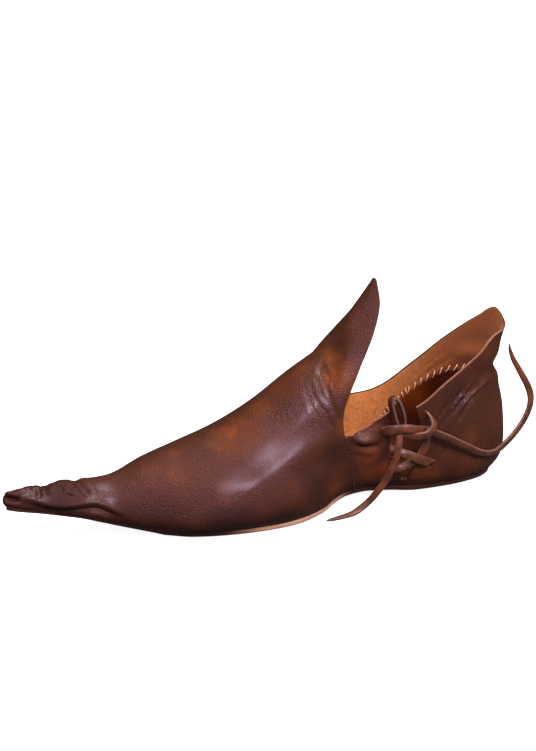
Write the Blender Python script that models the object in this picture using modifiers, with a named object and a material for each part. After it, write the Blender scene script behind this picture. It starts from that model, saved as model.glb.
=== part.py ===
"""Pointed, side-laced leather shoe for the right foot, with its upper, sole, heel stiffener and lace.

The toe points to -X, the laced inner side faces -Y and the sole stands on z = 0. The tables are in
millimetres, with x counted from the heel towards the toe, y towards the outer side and z upwards.
"""
import math
from collections import namedtuple

import bmesh
import bpy
import numpy as np
from mathutils import Vector

MM = 0.001

# The finished shoe's driving sizes, and the sizes of the last that the tables describe
LENGTH, BALL_WIDTH, FLAP_HEIGHT = 339.0, 93.5, 145.5
LAST_LENGTH, LAST_BALL_WIDTH, LAST_FLAP_HEIGHT = 339.0, 93.5, 145.5
# The shoe's middle, measured on the last from the heel and from the last's centre line
MIDDLE_X, MIDDLE_Y = 161.3, -1.3

WALL = 2.0
STIFFENER_WALL = 1.5
CONTACT_GAP = 0.3
THIN_FROM, THIN_TO, THINNEST = 319.0, 331.5, 0.12
LOW_ROWS, HIGH_ROWS = 7, 9
VAMP_STEPS, WALL_STEPS = 2, 3
SLIT_FIRST_ROW = 1
SOLE_TURN, SOLE_TURN_SHARE = 7.0, 0.4

LACE_HOLE_RADIUS = 2.0
LACE_RADIUS = 1.6
LACE_STEP = 7.0
STRAP_WIDTH, STRAP_THICKNESS = 4.6, 2.0
STRAP_REST = 0.45
KNOT_RADIUS = 2.4

# Sections over the forefoot: each from the sole's edge up both sides to the ridge. In and out are the
# distances from the section's middle line to the inner and the outer side.
Vamp = namedtuple("Vamp", "mid_y foot_x foot_z foot_in foot_out low_x low_z low_in low_out "
                          "high_x high_z high_in high_out shoulder_x shoulder_z shoulder_in shoulder_out "
                          "ridge_x ridge_z")
VAMP = [
    Vamp(-8.0, 329, 29.5, 0.6, 0.6, 330.5, 31.5, 0.7, 0.7, 331,
         34, 0.7, 0.7, 330.5, 36.5, 0.6, 0.6, 329, 38.5),
    Vamp(-7.8, 324, 28.8, 3.0, 3.0, 325, 31.0, 4.0, 4.0, 325, 34, 3.8, 3.8, 324, 38.0, 2.6, 2.6, 323, 39.8),
    Vamp(-7.0, 308, 24.8, 5.0, 5.0, 308, 28.5, 7.5, 7.5, 308, 33, 7.2, 7.2, 308, 37.5, 4.2, 4.2, 308, 39.5),
    Vamp(-6.0, 284, 18.5, 9.0, 9.0, 284, 23.0, 12.5, 12.5, 284,
         29, 11.8, 11.8, 284, 36.0, 7.0, 7.0, 284, 39.0),
    Vamp(-5.0, 262, 12.5, 15.5, 15.5, 262, 18.0, 20.0, 20.0, 262,
         26, 18.0, 18.0, 262, 34.5, 10.0, 10.0, 262, 38.6),
    Vamp(-3.5, 240, 7.8, 22.5, 22.0, 240, 14.0, 30.0, 29.0, 240,
         27, 26.0, 25.0, 240, 40.5, 14.0, 14.0, 240, 46.0),
    Vamp(-2.0, 215, 5.0, 32.5, 32.0, 215, 13.5, 41.0, 39.0, 215,
         30, 34.5, 33.0, 215, 45.5, 18.5, 18.0, 215, 52.3),
    Vamp(-1.0, 190, 5.0, 38.5, 38.0, 190, 15.0, 46.0, 45.0, 190,
         34, 39.0, 38.0, 190, 51.5, 21.0, 21.0, 190, 59.2),
    Vamp(0.0, 165, 5.0, 40.5, 40.0, 165, 17.0, 48.0, 45.5, 165,
         40, 39.5, 38.5, 165, 62.5, 22.5, 21.0, 163, 74.0),
    Vamp(0.0, 147, 5.5, 38.0, 37.0, 147, 19.0, 44.5, 43.5, 147,
         47, 38.0, 36.5, 144, 75.5, 23.5, 21.0, 140, 90.8),
    Vamp(0.0, 130, 6.3, 31.0, 33.0, 130, 20.0, 37.5, 40.5, 131,
         51, 35.5, 35.5, 127, 84.0, 25.0, 20.5, 117.5, 106.0),
]

# The two sections that carry the tall throat flap, point by point from the sole's edge to the ridge
Line = namedtuple("Line", "x inner outer z")
SADDLE = [
    Line(121.0, 25.0, 31.5, 7.8),
    Line(122.0, 34.0, 39.5, 20.5),
    Line(124.0, 35.0, 38.0, 40.0),
    Line(125.0, 34.5, 35.0, 53.5),
    Line(124.5, 31.5, 31.0, 74.0),
    Line(116.5, 24.0, 20.5, 96.0),
    Line(108.0, 13.5, 8.5, 114.0),
    Line(103.0, 0.0, 0.0, 124.6),
]
THROAT = [
    Line(112.0, 20.0, 30.0, 8.2),
    Line(114.5, 29.5, 38.0, 21.0),
    Line(118.0, 32.5, 36.5, 42.0),
    Line(119.3, 33.0, 34.0, 54.0),
    Line(120.0, 32.0, 32.0, 70.0),
    Line(109.0, 28.0, 27.0, 95.0),
    Line(95.5, 19.5, 18.5, 118.0),
    Line(87.8, 8.8, 10.0, 134.5),
    Line(88.2, 0.0, 0.0, 145.5),
]
THROAT_LOW_ROW = 3

# Sections of the wall from the throat round the heel: sole's edge, bulge, middle, neck and top edge
Wall = namedtuple("Wall", "foot_x foot_y foot_z low_x low_y low_z mid_x mid_y mid_z "
                          "neck_x neck_y neck_z top_x top_y top_z")
INNER_WALL = [
    Wall(100, 17.5, 8.5, 102, 28.0, 20.0, 103, 31.5, 32, 103.5, 32.5, 45, 104.0, 32.5, 57.0),
    Wall(73, 19.0, 6.8, 78, 29.5, 20.5, 86.3, 31.8, 34, 87.4, 32.0, 49, 88.5, 31.5, 66.0),
    Wall(70.5, 19.5, 6.5, 69.8, 30.0, 21.0, 65.2, 31.0, 36, 64.2, 31.0, 50, 68.5, 30.0, 66.0),
    Wall(48, 21.0, 5.0, 48, 31.0, 18.0, 48, 31.0, 34, 48.0, 29.5, 52, 46.0, 27.0, 79.0),
    Wall(26, 20.0, 5.0, 24, 29.5, 17.0, 25, 28.5, 35, 26.0, 25.5, 60, 22.0, 21.0, 92.0),
    Wall(9, 15.5, 5.0, 5, 22.5, 18.0, 6, 21.5, 38, 9.5, 18.0, 68, 7.0, 14.0, 101.0),
    Wall(1, 8.5, 5.0, -5, 12.5, 18.0, -4, 12.0, 48, 1.5, 9.0, 79, -3.5, 7.0, 102.0),
]
BACK_WALL = Wall(-1, 0.0, 5.0, -8, 0.0, 19.0, -7, 0.0, 50, -1.5, 0.0, 79, -8.0, 0.0, 104.5)
OUTER_WALL = [
    Wall(1, 9.0, 5.0, -5, 12.5, 18.0, -4, 12.0, 48, 1.5, 10.0, 78, -4.3, 8.0, 112.3),
    Wall(9, 17.0, 5.0, 5, 23.0, 18.0, 6, 22.0, 38, 9.0, 18.5, 68, 3.5, 16.0, 105.0),
    Wall(26, 23.0, 5.0, 24, 30.0, 17.0, 25, 29.3, 35, 26.0, 27.0, 58, 23.0, 23.5, 90.0),
    Wall(48, 24.0, 5.0, 48, 32.0, 18.0, 48, 32.0, 32, 47.0, 30.8, 48, 44.0, 28.5, 72.5),
    Wall(71, 24.5, 5.0, 71, 33.5, 19.0, 71, 33.8, 29, 70.0, 33.0, 41, 68.0, 32.0, 56.0),
    Wall(93, 26.0, 5.5, 93, 35.5, 20.0, 93, 36.0, 29, 93.0, 35.0, 39, 92.0, 33.5, 53.0),
]
SLIT_AFTER_WALL = 1

# The lowest line of the sole, flat under the heel and under the ball
Height = namedtuple("Height", "x z")
SOLE_LOW = [Height(-8, 0), Height(62, 0), Height(80, 2.2), Height(95, 3.6), Height(112, 3.2),
            Height(130, 0.9), Height(145, 0), Height(222, 0), Height(235, 1.2), Height(250, 5.6), Height(262, 9.2),
            Height(284, 15.6), Height(308, 21.8), Height(330, 27.3)]
# How far across its turned edge the sole has dropped from the upper to its lowest line
Turn = namedtuple("Turn", "across drop")
SOLE_EDGE = [Turn(0, 0), Turn(0.05, 0.4), Turn(0.3, 0.8), Turn(1, 1)]
# The stiffener's top edge
STIFFENER_TOP = [Height(-9, 70), Height(6, 69), Height(23, 65.5), Height(37, 59), Height(50, 50.5),
                 Height(60, 39.5), Height(66, 30)]
STIFFENER_ROWS = 5
STIFFENER_FOOT = 0.5
STIFFENER_GAP = 0.6

# The four lace holes in the inner side, and the lace's routes outside it
Place = namedtuple("Place", "x z")
LACE_HOLES = {"front_upper": Place(92.6, 53.5), "front_lower": Place(82.5, 24.0),
              "rear_upper": Place(60.5, 59.5), "rear_lower": Place(57.0, 26.5)}
CROSSING_STRAPS = [[Place(57.0, 27.2), Place(68.0, 33.1), Place(75.3, 37.1), Place(87.0, 43.0)],
                   [Place(82.8, 26.0), Place(77.7, 29.7), Place(70.2, 34.5), Place(65.0, 40.5),
                    Place(61.0, 50.5)]]
CROSSING_STEP = 6.0
CROSSING_STAGGER = 0.7
Stop = namedtuple("Stop", "x y z")
KNOT_ROUTE = [Stop(93, -34.9, 54.6), Stop(88, -37.6, 54.8), Stop(79, -39.0, 55), Stop(69, -38.7, 55),
              Stop(61, -37.2, 53)]
LOOP_ROUTE = [Stop(85.5, -38.9, 57.8), Stop(86.4, -39.3, 61), Stop(89.5, -39.8, 68), Stop(90.3, -39.8, 74),
              Stop(87, -39.6, 78.2), Stop(82.5, -39.6, 75), Stop(80.3, -39.4, 67), Stop(80.2, -39.0, 57.9)]
LOOP_STEP = 4.0
FRONT_END_ROUTE = [Stop(84.8, -38.7, 51.9), Stop(85.2, -40.2, 46), Stop(87.2, -40.8, 38.5),
                   Stop(89.9, -40.6, 32), Stop(94.6, -39.0, 20.8), Stop(100.6, -36.6, 10.9),
                   Stop(107, -35.2, 4.2), Stop(113, -36.0, 2.0), Stop(119.5, -37.8, 1.9), Stop(127, -39.4, 1.9),
                   Stop(132.7, -39.2, 1.9)]
BACK_END_ROUTE = [Stop(60.2, -37.0, 52.7), Stop(46.2, -35.2, 44.1), Stop(34.0, -34.4, 37.1),
                  Stop(18.9, -31.5, 28.6), Stop(4.1, -25.2, 25.4), Stop(-8.9, -20.5, 29.4),
                  Stop(-19.0, -17.5, 42.0), Stop(-22.7, -15.5, 53.5), Stop(-17.8, -13.5, 68.1),
                  Stop(-9.6, -11.5, 81.2), Stop(-6.8, -10.6, 92.5)]

Finish = namedtuple("Finish", "colour roughness")
UPPER_LEATHER = Finish((0.085, 0.028, 0.016), 0.35)
SOLE_LEATHER = Finish((0.42, 0.22, 0.11), 0.6)
STIFFENER_LEATHER = Finish((0.38, 0.14, 0.035), 0.6)
LACE_LEATHER = Finish((0.25, 0.075, 0.03), 0.5)


def smooth_through(knots, points, at):
    """Cubic through points at their knots, with each slope taken from the knots on both sides."""
    knots = np.asarray(knots, float)
    points = np.asarray(points, float)
    gap = np.diff(knots)
    rise = np.diff(points, axis=0) / gap[:, None]
    slope = np.empty_like(points)
    slope[1:-1] = (gap[1:, None] * rise[:-1] + gap[:-1, None] * rise[1:]) / (gap[1:] + gap[:-1])[:, None]
    slope[0] = 1.5 * rise[0] - 0.5 * slope[1]
    slope[-1] = 1.5 * rise[-1] - 0.5 * slope[-2]
    i = np.clip(np.searchsorted(knots, at, side="right") - 1, 0, len(gap) - 1)
    t = ((at - knots[i]) / gap[i])[:, None]
    span = gap[i][:, None]
    return ((1 + 2 * t) * (1 - t) ** 2 * points[i] + t * (1 - t) ** 2 * span * slope[i]
            + t * t * (3 - 2 * t) * points[i + 1] + t * t * (t - 1) * span * slope[i + 1])


def run_lengths(points, power=1.0):
    """Distance along a line of points, from its first one; power 0.5 suits a cubic's knots."""
    steps = np.linalg.norm(np.diff(points, axis=0), axis=1)
    return np.concatenate([[0.0], np.cumsum(np.maximum(steps, 1e-9) ** power)])


def even_points(points, first, last, count):
    """count + 1 evenly spaced points on the smooth line through points, from first to last."""
    knots = run_lengths(points, 0.5)
    fine = smooth_through(knots, points, np.linspace(knots[first], knots[last], 241))
    along = run_lengths(fine)
    wanted = np.linspace(0, along[-1], count + 1)
    return np.stack([np.interp(wanted, along, fine[:, axis]) for axis in range(3)], axis=1)


def arch_ribs(keys, low_key, mid_y):
    """A section's inner and outer half, each from the sole's edge up to the ridge."""
    inner = [(key.x, mid_y - key.inner, key.z) for key in keys]
    outer = [(key.x, mid_y + key.outer, key.z) for key in keys]
    over = np.array(inner + outer[-2::-1], float)
    ridge = len(keys) - 1
    halves = []
    for line in (over, over[::-1]):
        low = even_points(line, 0, low_key, LOW_ROWS)
        high = even_points(line, low_key, ridge, HIGH_ROWS)
        halves.append(np.vstack([low, high[1:]]))
    return halves


def vamp_ribs(row):
    keys = [Line(row.foot_x, row.foot_in, row.foot_out, row.foot_z),
            Line(row.low_x, row.low_in, row.low_out, row.low_z),
            Line(row.high_x, row.high_in, row.high_out, row.high_z),
            Line(row.shoulder_x, row.shoulder_in, row.shoulder_out, row.shoulder_z),
            Line(row.ridge_x, 0, 0, row.ridge_z)]
    return arch_ribs(keys, 2, row.mid_y)


def wall_rib(row, side):
    keys = np.array(row, float).reshape(5, 3)
    keys[:, 1] *= side
    return even_points(keys, 0, 4, LOW_ROWS)


def loft_rows(ribs, steps, closed):
    """Stations between ribs, steps[i] of them from rib i to the next, smooth along every row."""
    ribs = np.array(ribs)
    lead = 2 if closed else 0
    rows = []
    for k in range(ribs.shape[1]):
        points = ribs[:, k]
        if closed:
            points = np.vstack([points[-3:-1], points, points[1:3]])
        knots = run_lengths(points, 0.5)
        at = [knots[lead + i] + (knots[lead + i + 1] - knots[lead + i]) * np.arange(count) / count
              for i, count in enumerate(steps)]
        at.append([knots[lead + len(steps)]])
        rows.append(smooth_through(knots, points, np.concatenate(at)))
    return np.array(rows).transpose(1, 0, 2)


Form = namedtuple("Form", "band cap slit")


def upper_form(vamp_steps, wall_steps):
    """Grids of the upper's outer face: the band all round, the cap over the toes, the slit's station."""
    pairs = [vamp_ribs(row) for row in VAMP]
    pairs += [arch_ribs(lines, THROAT_LOW_ROW, 0.0) for lines in (SADDLE, THROAT)]
    tip = pairs[0][0].copy()
    tip[:, 1] = VAMP[0].mid_y
    inner = [tip] + [pair[0] for pair in pairs[1:]]
    outer = [tip] + [pair[1] for pair in pairs[1:]]
    inner_wall = [wall_rib(row, -1) for row in INNER_WALL]
    outer_wall = [wall_rib(row, 1) for row in [BACK_WALL] + OUTER_WALL]
    edge = LOW_ROWS + 1
    loop = [rib[:edge] for rib in inner] + inner_wall + outer_wall + [rib[:edge] for rib in outer[::-1]]
    spans = len(pairs) - 1
    steps = [vamp_steps] * spans + [wall_steps] * (len(loop) - 1 - 2 * spans) + [vamp_steps] * spans
    slit_span = spans + 1 + SLIT_AFTER_WALL
    steps[slit_span] = 1
    steps[-spans - 1] = wall_steps + 1
    band = loft_rows(loop, steps, closed=True)
    over = [rib[LOW_ROWS:] for rib in outer[::-1] + inner[1:]]
    cap = loft_rows(over, [vamp_steps] * (2 * spans), closed=False)
    reach = spans * vamp_steps
    for i in range(reach + 1):
        cap[reach - i, 0] = band[-1 - i, -1]
        cap[reach + i, 0] = band[i, -1]
    return Form(band, cap, sum(steps[:slit_span]))


def in_metres(point):
    """A table's point in the finished shoe's frame."""
    return Vector(((MIDDLE_X - point[0]) * LENGTH / LAST_LENGTH * MM,
                   (point[1] - MIDDLE_Y) * BALL_WIDTH / LAST_BALL_WIDTH * MM,
                   point[2] * FLAP_HEIGHT / LAST_FLAP_HEIGHT * MM))


def leather(name, finish):
    material = bpy.data.materials.new(name)
    material.use_nodes = True
    shader = material.node_tree.nodes["Principled BSDF"]
    shader.inputs["Base Color"].default_value = (*finish.colour, 1)
    shader.inputs["Roughness"].default_value = finish.roughness
    shader.inputs["Metallic"].default_value = 0.0
    material.diffuse_color = (*finish.colour, 1)
    return material


def mesh_piece(name, grids, finish, skipped=(), welded=0.02):
    """An object from grids of table points; skipped holds the (grid, station, row) faces left out."""
    bm = bmesh.new()
    for which, grid in enumerate(grids):
        verts = [[bm.verts.new(in_metres(point)) for point in station] for station in grid]
        for i in range(len(grid) - 1):
            for k in range(len(grid[0]) - 1):
                if (which, i, k) not in skipped:
                    bm.faces.new((verts[i][k], verts[i + 1][k], verts[i + 1][k + 1], verts[i][k + 1]))
    bmesh.ops.remove_doubles(bm, verts=bm.verts, dist=welded * MM)
    mesh = bpy.data.meshes.new(name)
    bm.to_mesh(mesh)
    bm.free()
    mesh.shade_smooth()
    mesh.set_sharp_from_angle(angle=math.radians(50))
    piece = bpy.data.objects.new(name, mesh)
    mesh.materials.append(leather(name, finish))
    SHOE.objects.link(piece)
    return piece


def wall_modifier(piece, thickness):
    wall = piece.modifiers.new("wall", "SOLIDIFY")
    wall.thickness = thickness * MM
    wall.offset = -1
    wall.use_even_offset = False
    return wall


def put_in(collection, piece):
    for other in list(piece.users_collection):
        other.objects.unlink(piece)
    collection.objects.link(piece)


def combine(piece, cutter, operation):
    """Cut the cutter from the piece, or join it on, with the cutter kept as a guide."""
    put_in(CUTTERS, cutter)
    cutter.hide_render = True
    cutter.display_type = "WIRE"
    boolean = piece.modifiers.new(cutter.name, "BOOLEAN")
    boolean.object = cutter
    boolean.operation = operation
    boolean.solver = "EXACT"


def upper_piece(form):
    """The wraparound upper: one wall with a slit and four lace holes on the inner side."""
    open_rows = {(0, form.slit, k) for k in range(SLIT_FIRST_ROW, LOW_ROWS)}
    piece = mesh_piece("upper", [form.band, form.cap], UPPER_LEATHER, skipped=open_rows)
    thin = piece.vertex_groups.new(name="wall_share")
    thin_end = in_metres((THIN_TO, 0, 0)).x
    thin_start = in_metres((THIN_FROM, 0, 0)).x
    for vertex in piece.data.vertices:
        share = (vertex.co.x - thin_end) / (thin_start - thin_end)
        thin.add([vertex.index], min(1.0, max(THINNEST, share)), "REPLACE")
    wall = wall_modifier(piece, WALL)
    wall.vertex_group = thin.name
    for name, place in LACE_HOLES.items():
        centre = in_metres((place.x, inner_side_y(form, place), place.z))
        bpy.ops.mesh.primitive_cylinder_add(vertices=12, radius=LACE_HOLE_RADIUS * MM, depth=6 * WALL * MM,
                                            location=centre, rotation=(math.radians(90), 0, 0))
        cutter = bpy.context.object
        cutter.name = "lace_hole_" + name
        combine(piece, cutter, "DIFFERENCE")
    return piece


def inner_side_y(form, place):
    """The y of the upper's outer face on the inner side, at a place given by x and z."""
    half = len(form.band) // 2
    across = []
    for rib in form.band[half // 2:half]:
        across.append((np.interp(place.z, rib[:, 2], rib[:, 0]), np.interp(place.z, rib[:, 2], rib[:, 1])))
    across = np.array(across)[::-1]
    return float(np.interp(place.x, across[:, 0], across[:, 1]))


def sole_sections(form):
    """Closed sections of the sole, one for each pair of stations facing each other across the foot."""
    foot = form.band[:-1, 0]
    low_x = [height.x for height in SOLE_LOW]
    low_z = [height.z for height in SOLE_LOW]
    sections = []
    for i in range(len(foot) // 2 + 1):
        inner = foot[i % len(foot)]
        outer = foot[-i % len(foot)]
        width = max(np.linalg.norm((outer - inner)[:2]), 1e-6)
        share = min(SOLE_TURN, SOLE_TURN_SHARE * width) / width

        def under(across, drop):
            point = inner + (outer - inner) * across
            top = point[2] - CONTACT_GAP
            return (point[0], point[1], top + (np.interp(point[0], low_x, low_z) - top) * drop)

        section = [under(turn.across * share, turn.drop) for turn in SOLE_EDGE]
        section.append(under(0.5, 1))
        section += [under(1 - turn.across * share, turn.drop) for turn in SOLE_EDGE[::-1]]
        section += [under(across, 0) for across in (1 - share, 0.5, share, 0)]
        sections.append(section[::-1])
    return np.array(sections)


def sole_piece(form):
    """The single sole, turned up at its edge to meet the upper and rising under the point."""
    return mesh_piece("sole", [sole_sections(form)], SOLE_LEATHER)


def stiffener_piece(form):
    """The heel stiffener: a leather lining piece that rises from the sole inside the heel."""
    start = form.slit + 2
    ribs = form.band[start:len(form.band) - start]
    along = np.gradient(ribs, axis=0)
    up = np.gradient(ribs, axis=1)
    outward = np.cross(along, up)
    outward *= -np.sign(outward[0, 0, 1]) / np.linalg.norm(outward, axis=2, keepdims=True)
    inside = ribs - outward * (WALL + STIFFENER_GAP)
    rows = []
    for rib in inside:
        top = np.interp(rib[0, 0], [h.x for h in STIFFENER_TOP], [h.z for h in STIFFENER_TOP])
        heights = np.linspace(rib[0, 2] + STIFFENER_FOOT, top, STIFFENER_ROWS + 1)
        rows.append(np.stack([np.interp(heights, rib[:, 2], rib[:, axis]) for axis in range(3)], axis=1))
    piece = mesh_piece("heel_stiffener", [np.array(rows)], STIFFENER_LEATHER)
    wall_modifier(piece, STIFFENER_WALL)
    return piece


def strap_piece(name, line):
    """A flat strap along a line of table points, its width upright and its face to the outer side."""
    points = [in_metres(point) for point in line]
    bm = bmesh.new()
    rings = []
    for i, point in enumerate(points):
        along = (points[min(i + 1, len(points) - 1)] - points[max(i - 1, 0)]).normalized()
        across = along.cross(Vector((0, 1, 0))).normalized() * STRAP_WIDTH / 2 * MM
        through = across.cross(along).normalized() * STRAP_THICKNESS / 2 * MM
        rings.append([bm.verts.new(point + offset) for offset in
                      (across + through, through - across, -across - through, across - through)])
    for first, second in zip(rings[:-1], rings[1:]):
        for side in range(4):
            turn = (side + 1) % 4
            bm.faces.new((first[side], first[turn], second[turn], second[side]))
    bm.faces.new(rings[0])
    bm.faces.new(rings[-1])
    bmesh.ops.recalc_face_normals(bm, faces=bm.faces)
    mesh = bpy.data.meshes.new(name)
    bm.to_mesh(mesh)
    bm.free()
    strap = bpy.data.objects.new(name, mesh)
    SHOE.objects.link(strap)
    return strap


def crossing_piece(form):
    """The two lace straps that cross over the slit, joined where they cross."""
    straps = []
    for index, places in enumerate(CROSSING_STRAPS):
        out = STRAP_REST + STRAP_THICKNESS / 2 + (1 - index) * CROSSING_STAGGER
        route = np.array([(place.x, inner_side_y(form, place) - out, place.z) for place in places])
        count = round(run_lengths(route)[-1] / CROSSING_STEP)
        straps.append(strap_piece("lace_crossings", even_points(route, 0, len(route) - 1, count)))
    first, second = straps
    first.data.materials.append(leather("lace_crossings", LACE_LEATHER))
    combine(first, second, "UNION")


def cord_piece(name, route, radius, step):
    """A round lace along a smooth line through the route."""
    points = np.array(route, float)
    count = max(3, round(run_lengths(points)[-1] / step))
    line = even_points(points, 0, len(points) - 1, count)
    curve = bpy.data.curves.new(name, "CURVE")
    curve.dimensions = "3D"
    curve.bevel_depth = radius * MM
    curve.bevel_resolution = 2
    curve.use_fill_caps = True
    spline = curve.splines.new("POLY")
    spline.points.add(len(line) - 1)
    for point, place in zip(spline.points, line):
        point.co = (*in_metres(place), 1)
    curve.materials.append(leather(name, LACE_LEATHER))
    SHOE.objects.link(bpy.data.objects.new(name, curve))


for old in list(bpy.data.objects):
    bpy.data.objects.remove(old, do_unlink=True)
SHOE = bpy.data.collections.new("pointed_shoe")
CUTTERS = bpy.data.collections.new("cutters")
bpy.context.scene.collection.children.link(SHOE)
bpy.context.scene.collection.children.link(CUTTERS)

shoe_form = upper_form(VAMP_STEPS, WALL_STEPS)
upper_piece(shoe_form)
sole_piece(shoe_form)
stiffener_piece(shoe_form)
crossing_piece(shoe_form)
cord_piece("lace_knot", KNOT_ROUTE, KNOT_RADIUS, LACE_STEP)
cord_piece("lace_loop", LOOP_ROUTE, LACE_RADIUS, LOOP_STEP)
cord_piece("lace_end_front", FRONT_END_ROUTE, LACE_RADIUS, LACE_STEP)
cord_piece("lace_end_back", BACK_END_ROUTE, LACE_RADIUS, LACE_STEP)
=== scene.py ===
"""Pointed, side-laced leather shoe for the right foot: its looks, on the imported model.

The toe points to -X, the laced inner side faces -Y and the sole stands on z = 0. Tables are in
millimetres, with x counted from the heel towards the toe, y towards the outer side and z upwards.
"""
import math
from collections import namedtuple

import bmesh
import bpy
import numpy as np
from mathutils import Matrix, Vector
from mathutils.bvhtree import BVHTree


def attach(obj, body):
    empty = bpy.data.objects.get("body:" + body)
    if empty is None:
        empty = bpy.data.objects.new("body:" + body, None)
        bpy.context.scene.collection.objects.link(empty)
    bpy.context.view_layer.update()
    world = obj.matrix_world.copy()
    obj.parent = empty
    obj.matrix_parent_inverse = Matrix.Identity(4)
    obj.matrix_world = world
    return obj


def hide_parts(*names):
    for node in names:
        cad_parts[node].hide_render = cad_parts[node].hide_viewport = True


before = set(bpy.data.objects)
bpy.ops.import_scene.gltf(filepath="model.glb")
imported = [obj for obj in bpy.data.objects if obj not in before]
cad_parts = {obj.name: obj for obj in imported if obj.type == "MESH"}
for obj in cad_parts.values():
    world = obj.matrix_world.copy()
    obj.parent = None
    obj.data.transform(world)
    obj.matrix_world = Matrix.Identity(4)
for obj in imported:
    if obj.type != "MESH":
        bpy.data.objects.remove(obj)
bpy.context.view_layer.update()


def placed(name, data):
    """A new object in the scene."""
    made = bpy.data.objects.new(name, data)
    bpy.context.scene.collection.objects.link(made)
    return made


# The view is a hand-held picture taken a metre away from the laced inner side, a little towards the
# toe and above it, with the camera turned by less than a degree.
MM = 0.001
VIEW_TURN = math.radians(21.2)
VIEW_RISE = math.radians(22.5)
VIEW_ROLL = math.radians(0.8)
VIEW_DISTANCE = 1.0
VIEW_TARGET = Vector((0.0028, 0.0013, 0.0885))
SENSOR_HEIGHT, FOCAL_LENGTH = 36.0, 76.6

sight = Vector((math.sin(VIEW_TURN) * math.cos(VIEW_RISE), math.cos(VIEW_TURN) * math.cos(VIEW_RISE),
                -math.sin(VIEW_RISE)))
level = Vector((math.cos(VIEW_TURN), -math.sin(VIEW_TURN), 0))
upright = level.cross(sight)
camera_right = level * math.cos(VIEW_ROLL) + upright * math.sin(VIEW_ROLL)
camera_up = upright * math.cos(VIEW_ROLL) - level * math.sin(VIEW_ROLL)
lens = bpy.data.cameras.new("picture_camera")
lens.sensor_fit = "VERTICAL"
lens.sensor_height = SENSOR_HEIGHT
lens.lens = FOCAL_LENGTH
camera = placed("picture_camera", lens)
camera.matrix_world = Matrix((camera_right, camera_up, -sight)).transposed().to_4x4()
camera.matrix_world.translation = VIEW_TARGET - sight * VIEW_DISTANCE
bpy.context.scene.camera = camera


def feed(tree, node, inputs):
    """Sets a node's inputs, each to a value or from another node's socket."""
    for key, value in inputs.items():
        if isinstance(value, Signal):
            value = value.socket
        if isinstance(value, bpy.types.NodeSocket):
            tree.links.new(value, node.inputs[key])
        else:
            node.inputs[key].default_value = value


def add_node(tree, kind, settings=None, inputs=None):
    made = tree.nodes.new(kind)
    for key, value in (settings or {}).items():
        setattr(made, key, value)
    feed(tree, made, inputs or {})
    return made


class Signal:
    """A value in a material, so that shader maths is written as plain sums."""

    def __init__(self, finish, socket):
        self.finish = finish
        self.socket = socket

    def maths(self, operation, *others):
        return self.finish.node("ShaderNodeMath", {"operation": operation}, dict(enumerate((self, *others))))

    def __add__(self, other):
        return self.maths("ADD", other)

    def __radd__(self, other):
        return self.maths("ADD", other)

    def __sub__(self, other):
        return self.maths("SUBTRACT", other)

    def __rsub__(self, other):
        return self.maths("MULTIPLY_ADD", -1.0, other)

    def __mul__(self, other):
        return self.maths("MULTIPLY", other)

    def __rmul__(self, other):
        return self.maths("MULTIPLY", other)

    def between(self, low, high):
        """0 below low and 1 above high, smooth between them."""
        return self.finish.node("ShaderNodeMapRange", {"interpolation_type": "SMOOTHSTEP", "clamp": True},
                                {"Value": self, "From Min": low, "From Max": high})


class Finish:
    """One material, built on its Principled shader."""

    def __init__(self, name, **sockets):
        self.material = bpy.data.materials.new(name)
        self.material.use_nodes = True
        self.tree = self.material.node_tree
        self.shader = self.tree.nodes["Principled BSDF"]
        self.set(**sockets)
        self.place = self.node("ShaderNodeTexCoord", output="Object")

    def node(self, kind, settings=None, inputs=None, output=0):
        """Adds a node and gives one of its outputs."""
        return Signal(self, add_node(self.tree, kind, settings, inputs).outputs[output])

    def noise(self, scale, detail=2.0, rough=0.5, stretch=None, warp=0.0):
        """Noise over the piece, from 0 to 1; scale is in waves a metre, stretch squeezes it along an axis."""
        place = self.place
        if stretch:
            place = self.node("ShaderNodeMapping", None, {"Vector": place, "Scale": stretch})
        return self.node("ShaderNodeTexNoise", None, {"Vector": place, "Scale": scale, "Detail": detail,
                                                      "Roughness": rough, "Distortion": warp})

    def mixed(self, share, first, second):
        """first where share is 0 and second where it is 1."""
        return self.node("ShaderNodeMix", {"data_type": "RGBA"}, {0: share, 6: first, 7: second}, output=2)

    def along(self, axis):
        """The place on the piece along an axis, in metres."""
        return self.node("ShaderNodeSeparateXYZ", None, {0: self.place}, output=axis)

    def bump(self, strength, distance, height):
        return self.node("ShaderNodeBump", None,
                         {"Strength": strength, "Distance": distance, "Height": height})

    def set(self, **sockets):
        feed(self.tree, self.shader, {key.replace("_", " "): value for key, value in sockets.items()})


def softbox(name, place, aim, width, height, watts, colour):
    light = bpy.data.lights.new(name, "AREA")
    light.shape = "RECTANGLE"
    light.size = width
    light.size_y = height
    light.energy = watts
    light.color = colour
    lamp = placed(name, light)
    lamp.location = place
    lamp.rotation_euler = (Vector(place) - Vector(aim)).to_track_quat("Z", "Y").to_euler()


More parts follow.
